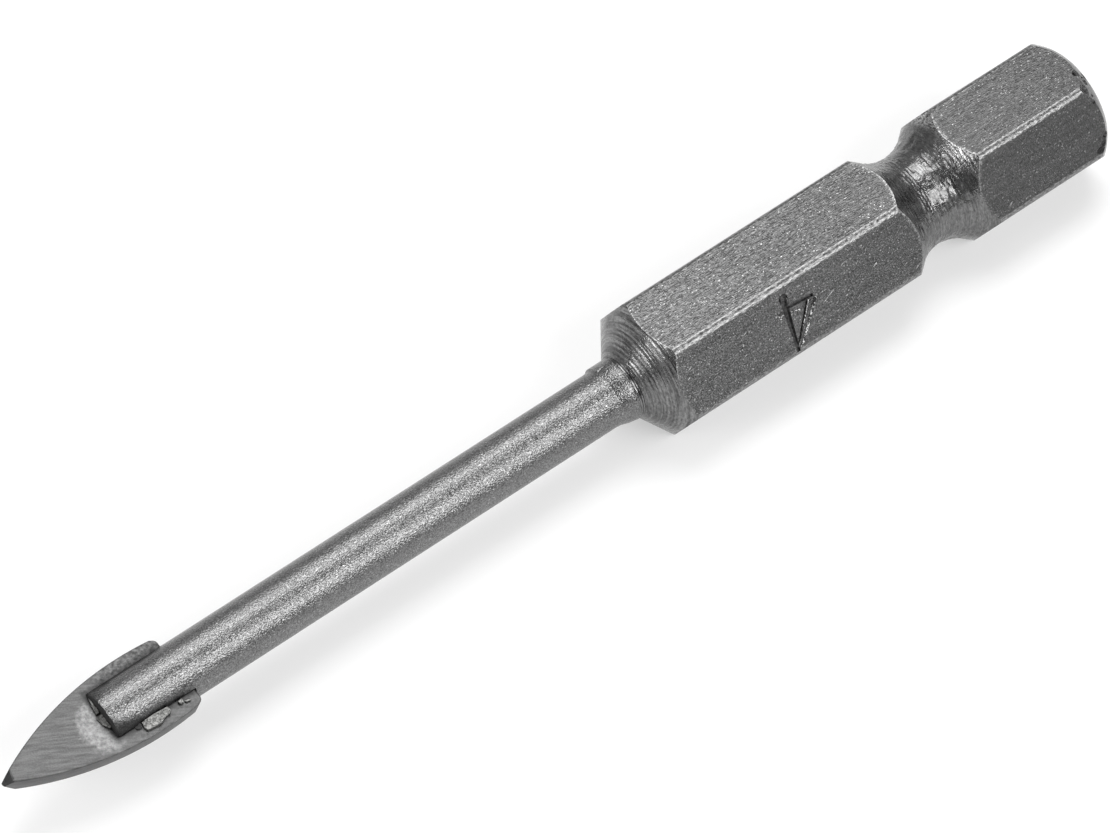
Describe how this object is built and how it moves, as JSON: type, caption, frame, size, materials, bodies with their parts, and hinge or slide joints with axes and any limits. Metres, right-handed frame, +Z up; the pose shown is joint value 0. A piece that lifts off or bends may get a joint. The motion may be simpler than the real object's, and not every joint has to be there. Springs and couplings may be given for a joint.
{
  "type": "glass and tile drill bit",
  "caption": "Spear-point drill bit for glass and tile: a carbide blade brazed into the slotted end of a slim round shaft, on a hexagonal quick-change shank with a locking groove.",
  "frame": {"origin": "centre of the shank's rear end face, on the axis", "axes": "+X along the axis out of the rear end, so the point is towards -X; +Z up, square to the hexagon flat on top while the bit lies on the opposite flat"},
  "size_m": [0.0626, 0.0072, 0.0064],
  "materials": {
    "shank_steel": "turned and drawn steel, dull grey, bright worn edges",
    "carbide": "ground sintered carbide, fine oblique grinding lines",
    "braze_alloy": "dull silver braze, lumpy"
  },
  "bodies": {
    "root": {"shank": "shank_steel", "carbide_tip": "carbide", "braze": "braze_alloy"}
  },
  "joints": []
}
